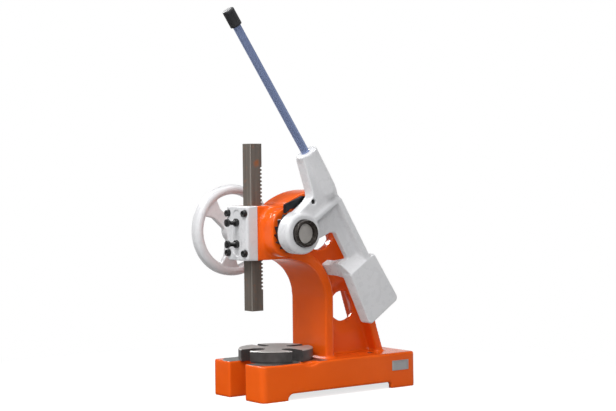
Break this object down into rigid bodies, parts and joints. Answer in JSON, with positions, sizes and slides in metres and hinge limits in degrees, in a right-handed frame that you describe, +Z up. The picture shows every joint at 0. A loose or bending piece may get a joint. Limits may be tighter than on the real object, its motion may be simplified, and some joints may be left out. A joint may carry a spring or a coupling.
{
  "type": "ratchet arbor press",
  "caption": "Bench arbor press with a cast frame, rack ram, ratchet lever with counterweight, handwheel and slotted turning table plate.",
  "frame": {"origin": "point where the ram's axis meets the bench plane, at the underside of the base", "axes": "+X towards the lever side, +Y towards the back, +Z up along the ram"},
  "size_m": [0.3775, 0.6681, 1.0369],
  "materials": {
    "orange_paint": "gloss paint over a cast surface",
    "white_paint": "semi-gloss paint over a cast surface",
    "black_oxide": "black oxide",
    "bright_steel": "machined",
    "bronze": "machined",
    "dark_steel": "milled and oiled",
    "tool_steel": "ground and blued",
    "rod_steel": "polished bar",
    "black_rubber": "matte",
    "plate_iron": "machined top, dark sides"
  },
  "bodies": {
    "frame": {"frame": "orange_paint", "front_cover": "white_paint", "cover_screws": "black_oxide", "gib_plate": "bright_steel", "gib_screws": "black_oxide", "gib_lock_nuts": "black_oxide", "left_bush": "bronze", "right_bush": "bronze", "table_pivot": "bright_steel"},
    "ram": {"ram": "dark_steel"},
    "pinion": {"pinion_shaft": "bright_steel", "ratchet_wheel": "black_oxide", "ratchet_key": "bright_steel", "retaining_ring": "black_oxide", "handwheel": "white_paint", "handwheel_key": "bright_steel", "handwheel_washer": "bright_steel", "handwheel_screw": "black_oxide"},
    "lever": {"lever_yoke": "white_paint", "yoke_bush": "bronze", "pawl_pin": "bright_steel", "pawl_pin_ring": "black_oxide", "lever_rod": "rod_steel", "rod_cap": "black_rubber", "rod_set_screw": "black_oxide"},
    "pawl": {"pawl": "tool_steel"},
    "table": {"table_plate": "plate_iron"}
  },
  "joints": [
    {"name": "pinion_spin", "type": "hinge", "parent": "frame", "child": "pinion", "pos_m": [0, 0.0393, 0.45], "axis": [1, 0, 0], "range_deg": [-315, 247.5]},
    {"name": "ram_slide", "type": "slide", "parent": "frame", "child": "ram", "axis": [0, 0, -1], "range_m": [-0.1252, 0.0984]},
    {"name": "lever_swing", "type": "hinge", "parent": "frame", "child": "lever", "pos_m": [0, 0.0393, 0.45], "axis": [1, 0, 0], "range_deg": [0, 90]},
    {"name": "pawl_pivot", "type": "hinge", "parent": "lever", "child": "pawl", "pos_m": [0.1265, 0.07549, 0.53287], "axis": [1, 0, 0], "range_deg": [-25, 9]},
    {"name": "table_turn", "type": "hinge", "parent": "frame", "child": "table", "pos_m": [0, 0.071, 0.098], "axis": [0, 0, 1], "continuous": true}
  ],
  "couplings": [
    {"joint": "ram_slide", "follows": "pinion_spin", "m_per_rad": 0.02275}
  ]
}
